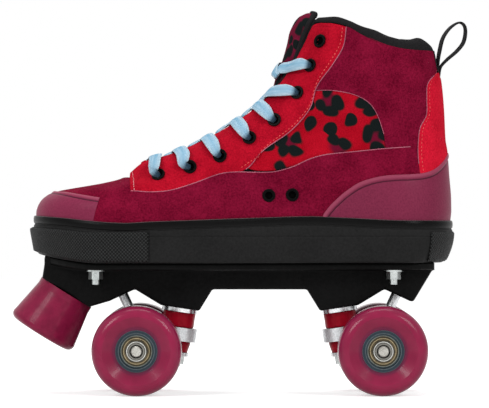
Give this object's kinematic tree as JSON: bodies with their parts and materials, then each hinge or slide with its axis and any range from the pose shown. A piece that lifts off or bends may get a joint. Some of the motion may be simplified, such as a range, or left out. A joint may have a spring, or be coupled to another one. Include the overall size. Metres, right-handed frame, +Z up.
{
  "type": "roller skate",
  "caption": "Quad roller skate: padded lace-up high-top boot on a moulded plate with sprung steering trucks, free-rolling wheels and a toe stop.",
  "frame": {"origin": "on the floor under the middle of the skate's length and width", "axes": "+X towards the heel, +Y towards the right (inner) side, +Z up"},
  "size_m": [0.2965, 0.1072, 0.2494],
  "materials": {
    "toe_leather": "smooth grain, semi-gloss",
    "burgundy_suede": "suede nap",
    "red_suede": "suede nap",
    "leopard_cloth": "printed plush",
    "black_lining": "soft knit over foam",
    "black_webbing": "woven tape",
    "eyelet_metal": "black enamel",
    "lace_cotton": "flat weave",
    "insole_foam": "cloth over foam",
    "board_fibre": "pressed fibre",
    "sole_rubber": "moulded, satin",
    "plate_nylon": "moulded, fine texture",
    "zinc_steel": "zinc plate",
    "bright_steel": "polished plate",
    "hanger_cast": "cast and tumbled",
    "cushion_urethane": "satin",
    "cup_nylon": "plain",
    "stop_rubber": "moulded, glossy",
    "wheel_urethane": "cast, glossy",
    "hub_nylon": "moulded",
    "bearing_steel": "ground steel with a bronze tint"
  },
  "bodies": {
    "boot_and_plate": {"liner_left": "black_lining", "liner_right": "black_lining", "collar": "black_lining", "tongue": "leopard_cloth", "toe_cap": "toe_leather", "vamp": "burgundy_suede", "side_bands": "burgundy_suede", "side_panels": "leopard_cloth", "ankle_panels": "burgundy_suede", "eyestays": "red_suede", "heel_strip": "red_suede", "heel_counter": "toe_leather", "pull_loop": "black_webbing", "eyelets": "eyelet_metal", "vent_eyelets": "eyelet_metal", "laces": "lace_cotton", "insole": "insole_foam", "lasting_board": "board_fibre", "sole": "sole_rubber", "toe_bumper": "sole_rubber", "heel_bumper": "sole_rubber", "plate": "plate_nylon", "mounting_bolts": "zinc_steel", "mounting_nuts": "zinc_steel", "toe_stop": "stop_rubber", "toe_stop_bolt": "zinc_steel", "front_kingpin": "zinc_steel", "front_kingpin_nut": "zinc_steel", "front_retainers": "bright_steel", "front_upper_cushion": "cushion_urethane", "front_lower_cushion": "cushion_urethane", "front_pivot_cup": "cup_nylon", "rear_kingpin": "zinc_steel", "rear_kingpin_nut": "zinc_steel", "rear_retainers": "bright_steel", "rear_upper_cushion": "cushion_urethane", "rear_lower_cushion": "cushion_urethane", "rear_pivot_cup": "cup_nylon"},
    "front_truck": {"front_hanger": "hanger_cast", "front_axle": "zinc_steel", "front_axle_nuts": "zinc_steel", "front_inner_races": "bearing_steel"},
    "front_left_wheel": {"front_left_tyre": "wheel_urethane", "front_left_hub": "hub_nylon", "front_left_bearings": "bearing_steel"},
    "front_right_wheel": {"front_right_tyre": "wheel_urethane", "front_right_hub": "hub_nylon", "front_right_bearings": "bearing_steel"},
    "rear_truck": {"rear_hanger": "hanger_cast", "rear_axle": "zinc_steel", "rear_axle_nuts": "zinc_steel", "rear_inner_races": "bearing_steel"},
    "rear_left_wheel": {"rear_left_tyre": "wheel_urethane", "rear_left_hub": "hub_nylon", "rear_left_bearings": "bearing_steel"},
    "rear_right_wheel": {"rear_right_tyre": "wheel_urethane", "rear_right_hub": "hub_nylon", "rear_right_bearings": "bearing_steel"}
  },
  "joints": [
    {"name": "front_steer", "type": "hinge", "parent": "boot_and_plate", "child": "front_truck", "pos_m": [-0.0414, 0, 0.0392], "axis": [-0.7859, 0, 0.6184], "range_deg": [-8, 8], "stiffness_Nm_per_rad": 20, "deforming": ["front_upper_cushion", "front_lower_cushion"]},
    {"name": "front_left_spin", "type": "hinge", "parent": "front_truck", "child": "front_left_wheel", "pos_m": [-0.0663, -0.037, 0.029], "axis": [0, 1, 0], "continuous": true},
    {"name": "front_right_spin", "type": "hinge", "parent": "front_truck", "child": "front_right_wheel", "pos_m": [-0.0663, 0.037, 0.029], "axis": [0, 1, 0], "continuous": true},
    {"name": "rear_steer", "type": "hinge", "parent": "boot_and_plate", "child": "rear_truck", "pos_m": [0.0673, 0, 0.0392], "axis": [0.7859, 0, 0.6184], "range_deg": [-8, 8], "stiffness_Nm_per_rad": 20, "deforming": ["rear_upper_cushion", "rear_lower_cushion"]},
    {"name": "rear_left_spin", "type": "hinge", "parent": "rear_truck", "child": "rear_left_wheel", "pos_m": [0.0922, -0.037, 0.029], "axis": [0, 1, 0], "continuous": true},
    {"name": "rear_right_spin", "type": "hinge", "parent": "rear_truck", "child": "rear_right_wheel", "pos_m": [0.0922, 0.037, 0.029], "axis": [0, 1, 0], "continuous": true}
  ]
}
